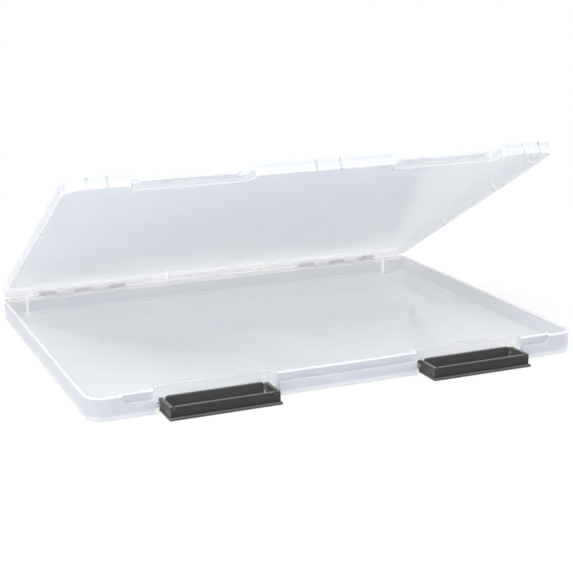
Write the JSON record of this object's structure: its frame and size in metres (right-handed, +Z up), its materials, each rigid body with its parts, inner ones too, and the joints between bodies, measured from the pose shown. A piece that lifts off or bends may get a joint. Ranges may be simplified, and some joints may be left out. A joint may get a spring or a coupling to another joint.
{
  "type": "file storage box",
  "caption": "Slim translucent file box for A4 sheets: shallow tray, snap-hinged lid set partly open, and swing latches lowered at the front.",
  "frame": {"origin": "middle of the tray's flat underside", "axes": "+X along the long side, +Y towards the hinge, +Z up"},
  "size_m": [0.322, 0.2579, 0.1337],
  "materials": {
    "tray_plastic": "milky translucent polypropylene",
    "lid_plastic": "milky translucent polypropylene",
    "latch_plastic": "satin black"
  },
  "bodies": {
    "tray": {"base_tray": "tray_plastic"},
    "lid": {"lid": "lid_plastic"},
    "left_latch": {"left_latch": "latch_plastic"},
    "right_latch": {"right_latch": "latch_plastic"}
  },
  "joints": [
    {"name": "lid_hinge", "type": "hinge", "parent": "tray", "child": "lid", "pos_m": [0, 0.12, 0.0145], "axis": [-1, 0, 0], "range_deg": [-28, 149]},
    {"name": "left_latch_pivot", "type": "hinge", "parent": "tray", "child": "left_latch", "pos_m": [-0.084, -0.1142, 0.0046], "axis": [-1, 0, 0], "range_deg": [0, 90]},
    {"name": "right_latch_pivot", "type": "hinge", "parent": "tray", "child": "right_latch", "pos_m": [0.084, -0.1142, 0.0046], "axis": [-1, 0, 0], "range_deg": [0, 90]}
  ]
}
